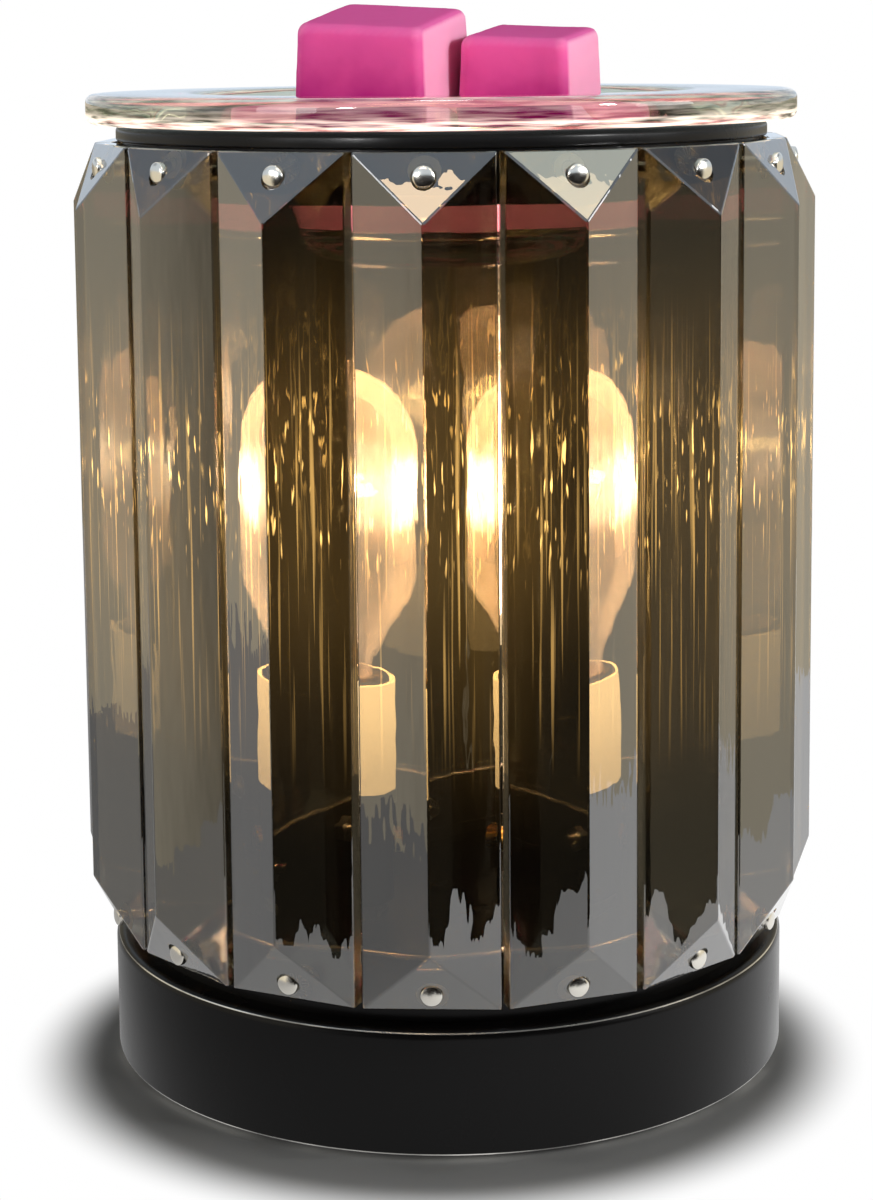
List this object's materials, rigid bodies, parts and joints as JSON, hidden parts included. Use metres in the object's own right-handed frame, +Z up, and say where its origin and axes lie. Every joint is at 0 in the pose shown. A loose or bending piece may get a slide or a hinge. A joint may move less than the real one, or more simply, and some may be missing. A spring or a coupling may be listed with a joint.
{
  "type": "wax melt warmer",
  "caption": "Electric wax melt warmer: ridged smoked-glass bars round a lamp, on a black drum base, with a lift-off glass dish of pink wax on top.",
  "frame": {"origin": "centre of the footprint, on the surface that it stands on", "axes": "+Z up along the lamp's axis, -Y the front, +Y the back with the cord gland"},
  "size_m": [0.1206, 0.1206, 0.171],
  "materials": {
    "black_enamel": "satin baked enamel",
    "black_plastic": "matt moulded",
    "black_phenolic": "moulded",
    "rubber": "matt",
    "zinc_steel": "zinc plated",
    "nickel": "polished nickel",
    "nylon": "translucent nylon",
    "brass": "rolled",
    "cream_sleeve": "satin",
    "smoked_glass": "polished, smoke tinted",
    "bulb_glass": "clear blown glass",
    "lead_wire": "drawn wire",
    "filament": "glowing tungsten",
    "dish_glass": "clear pressed glass",
    "pink_wax": "smooth wax"
  },
  "bodies": {
    "warmer": {"base_drum": "black_enamel", "neck_ring": "black_enamel", "top_ring": "black_enamel", "bottom_cover": "black_plastic", "lampholder_body": "black_phenolic", "rubber_feet": "rubber", "cord_gland": "rubber", "cover_posts": "zinc_steel", "cover_screws": "zinc_steel", "neck_screws": "zinc_steel", "neck_nuts": "zinc_steel", "holder_nipple": "zinc_steel", "nipple_nuts": "zinc_steel", "nipple_washer": "zinc_steel", "upper_bar_nuts": "zinc_steel", "lower_bar_nuts": "zinc_steel", "upper_bar_screws": "nickel", "lower_bar_screws": "nickel", "upper_bar_washers": "nylon", "lower_bar_washers": "nylon", "screw_shell": "brass", "centre_contact": "brass", "terminal_screws": "brass", "candle_sleeve": "cream_sleeve", "glass_bar_01": "smoked_glass", "glass_bar_02": "smoked_glass", "glass_bar_03": "smoked_glass", "glass_bar_04": "smoked_glass", "glass_bar_05": "smoked_glass", "glass_bar_06": "smoked_glass", "glass_bar_07": "smoked_glass", "glass_bar_08": "smoked_glass", "glass_bar_09": "smoked_glass", "glass_bar_10": "smoked_glass", "glass_bar_11": "smoked_glass", "glass_bar_12": "smoked_glass", "glass_bar_13": "smoked_glass", "glass_bar_14": "smoked_glass", "glass_bar_15": "smoked_glass", "glass_bar_16": "smoked_glass"},
    "dish": {"glass_dish": "dish_glass", "wax_pool": "pink_wax"},
    "large_cube": {"large_wax_cube": "pink_wax"},
    "small_cube": {"small_wax_cube": "pink_wax"},
    "bulb_tip": {"tip_contact": "brass"},
    "bulb": {"cap_insulator": "black_phenolic", "bulb_cap": "nickel", "bulb_glass": "bulb_glass", "bulb_stem": "bulb_glass", "lead_wires": "lead_wire", "filament": "filament"}
  },
  "joints": [
    {"name": "dish_lift", "type": "slide", "parent": "warmer", "child": "dish", "axis": [0, 0, 1], "range_m": [0, 0.03]},
    {"name": "large_cube_lift", "type": "slide", "parent": "dish", "child": "large_cube", "axis": [0, 0, 1], "range_m": [0, 0.03]},
    {"name": "small_cube_lift", "type": "slide", "parent": "dish", "child": "small_cube", "axis": [0, 0, 1], "range_m": [0, 0.03]},
    {"name": "bulb_rise", "type": "slide", "parent": "warmer", "child": "bulb_tip", "axis": [0, 0, 1], "range_m": [0, 0.01017]},
    {"name": "bulb_turn", "type": "hinge", "parent": "bulb_tip", "child": "bulb", "pos_m": [0, 0, 0.0435], "axis": [0, 0, 1], "range_deg": [0, 1440]}
  ],
  "couplings": [
    {"joint": "bulb_rise", "follows": "bulb_turn", "m_per_rad": 0.00040425}
  ]
}
